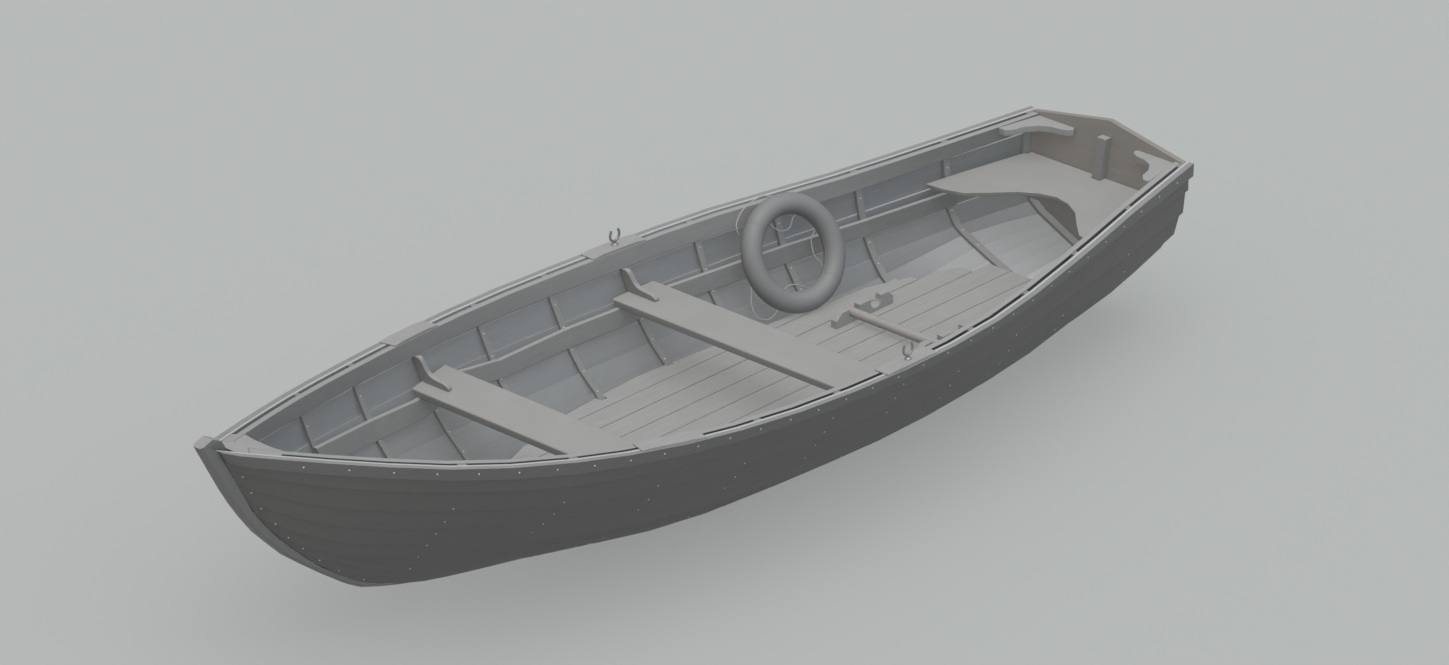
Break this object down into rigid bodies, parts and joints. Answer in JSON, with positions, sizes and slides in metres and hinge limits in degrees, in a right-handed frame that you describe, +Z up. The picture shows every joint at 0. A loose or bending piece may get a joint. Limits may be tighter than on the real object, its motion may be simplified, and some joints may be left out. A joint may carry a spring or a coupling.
{
  "type": "lifeboat",
  "caption": "Open clinker-planked pulling lifeboat with timbers, thwarts, stern seat, floorboards, rowlocks, foot stretcher and a lifebuoy.",
  "frame": {"origin": "amidships on the centreline at the floating waterline", "axes": "+X aft towards the transom, +Y to starboard, +Z up"},
  "size_m": [5.4796, 1.7524, 1.2114],
  "materials": {
    "painted_hull": "satin paint on planed planks",
    "painted_transom": "satin paint on planed planks",
    "gunwale_wood": "pale painted wood, satin",
    "timber_wood": "painted wood, satin",
    "seat_wood": "pale painted wood, satin",
    "floor_wood": "pale painted wood, satin",
    "rowlock_metal": "galvanised, dull",
    "buoy_cover": "painted canvas cover",
    "rope": "twisted line"
  },
  "bodies": {
    "boat": {"breasthook": "gunwale_wood", "floorboards": "floor_wood", "foot_rack_port": "floor_wood", "foot_rack_starboard": "floor_wood", "inwale_port": "gunwale_wood", "inwale_starboard": "gunwale_wood", "keel": "painted_hull", "pad_fore_port": "gunwale_wood", "pad_fore_starboard": "gunwale_wood", "pad_mid_port": "gunwale_wood", "pad_mid_starboard": "gunwale_wood", "planking_port": "painted_hull", "planking_starboard": "painted_hull", "quarter_knee_port": "gunwale_wood", "quarter_knee_starboard": "gunwale_wood", "rail_port": "gunwale_wood", "rail_starboard": "gunwale_wood", "riser_port": "seat_wood", "riser_starboard": "seat_wood", "stem": "painted_hull", "stern_seat": "seat_wood", "thwart_fore": "seat_wood", "thwart_knee_fore_port": "seat_wood", "thwart_knee_fore_starboard": "seat_wood", "thwart_knee_mid_port": "seat_wood", "thwart_knee_mid_starboard": "seat_wood", "thwart_mid": "seat_wood", "timber_01": "timber_wood", "timber_02": "timber_wood", "timber_03": "timber_wood", "timber_04": "timber_wood", "timber_05": "timber_wood", "timber_06": "timber_wood", "timber_07": "timber_wood", "timber_08": "timber_wood", "timber_09": "timber_wood", "timber_10": "timber_wood", "timber_11": "timber_wood", "transom": "painted_transom", "transom_post": "seat_wood"},
    "rowlock_port": {"rowlock_port": "rowlock_metal"},
    "rowlock_starboard": {"rowlock_starboard": "rowlock_metal"},
    "stretcher": {"stretcher_bar": "floor_wood"},
    "lifebuoy": {"lifebuoy": "buoy_cover", "grab_rope": "rope"}
  },
  "joints": [
    {"name": "rowlock_starboard_turn", "type": "hinge", "parent": "boat", "child": "rowlock_starboard", "pos_m": [0.45888, 0.82735, 0.52261], "axis": [0, 0, 1], "continuous": true},
    {"name": "rowlock_port_turn", "type": "hinge", "parent": "boat", "child": "rowlock_port", "pos_m": [0.45888, -0.82735, 0.52261], "axis": [0, 0, 1], "continuous": true},
    {"name": "stretcher_lift", "type": "slide", "parent": "boat", "child": "stretcher", "axis": [0, 0, 1], "range_m": [0, 0.35]},
    {"name": "lifebuoy_lift", "type": "slide", "parent": "boat", "child": "lifebuoy", "axis": [0, 0, 1], "range_m": [0, 0.7]}
  ]
}
